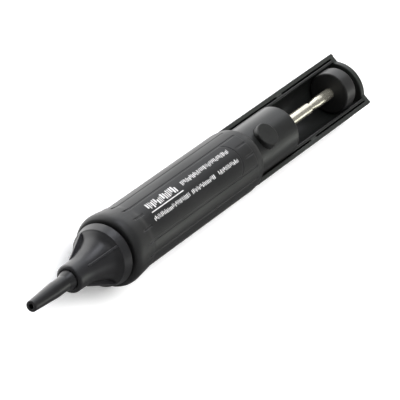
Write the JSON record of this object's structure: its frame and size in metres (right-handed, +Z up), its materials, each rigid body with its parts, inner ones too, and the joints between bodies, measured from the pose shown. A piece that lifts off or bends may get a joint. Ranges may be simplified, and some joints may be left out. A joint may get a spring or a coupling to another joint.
{
  "type": "desoldering pump",
  "caption": "Hand-held desoldering pump: spring-loaded plunger, release button, screw-off nose with a slim nozzle, fluted barrel and a half-shell guard round the plunger.",
  "frame": {"origin": "on the bench, under the middle of the pump's overall length", "axes": "+X along the pump from the nozzle to the plunger guard, +Z up through the release button, +Y across the pump"},
  "size_m": [0.195, 0.0246, 0.0246],
  "materials": {
    "grip_plastic": "matte, moulded, static-dissipative black",
    "nose_plastic": "satin black",
    "nozzle_plastic": "satin, heat-resistant black",
    "tube_plastic": "satin dark grey",
    "guard_plastic": "matte dark grey",
    "button_plastic": "satin dark grey",
    "knob_plastic": "satin black",
    "plated_rod": "polished nickel plate",
    "bright_steel": "bright",
    "spring_steel": "drawn wire",
    "white_acetal": "natural white",
    "black_rubber": "matte"
  },
  "bodies": {
    "pump_body": {"barrel": "grip_plastic", "pump_tube": "tube_plastic", "plunger_guard": "guard_plastic", "main_spring": "spring_steel", "bumper_washer": "black_rubber", "rod_guide_bush": "white_acetal", "bush_circlip": "spring_steel", "latch_carrier": "white_acetal", "carrier_screw": "bright_steel", "button_spring": "spring_steel"},
    "plunger": {"plunger_rod": "plated_rod", "plunger_knob": "knob_plastic", "piston": "white_acetal", "piston_o_ring": "black_rubber", "piston_washer": "bright_steel", "piston_nut": "bright_steel", "cleaning_pin": "bright_steel"},
    "button": {"release_button": "button_plastic", "latch_plate": "bright_steel"},
    "nose_thread": {"nose_o_ring": "black_rubber"},
    "nose": {"nose_cone": "nose_plastic", "nozzle": "nozzle_plastic", "nozzle_seal_ring": "black_rubber", "nozzle_retainer": "white_acetal"}
  },
  "joints": [
    {"name": "plunger_slide", "type": "slide", "parent": "pump_body", "child": "plunger", "axis": [-1, 0, 0], "range_m": [0, 0.041], "stiffness_N_per_m": 400, "springref_m": -0.012, "deforming": ["main_spring"]},
    {"name": "button_press", "type": "slide", "parent": "pump_body", "child": "button", "axis": [0, 0, -1], "range_m": [0, 0.0015], "stiffness_N_per_m": 150, "springref_m": -0.001, "deforming": ["button_spring"]},
    {"name": "nose_advance", "type": "slide", "parent": "pump_body", "child": "nose_thread", "axis": [-1, 0, 0], "range_m": [0, 0.0045]},
    {"name": "nose_turn", "type": "hinge", "parent": "nose_thread", "child": "nose", "pos_m": [-0.0545, 0, 0.0123], "axis": [-1, 0, 0], "range_deg": [0, 540]}
  ],
  "couplings": [
    {"joint": "nose_advance", "follows": "nose_turn", "m_per_rad": 0.00047746}
  ]
}
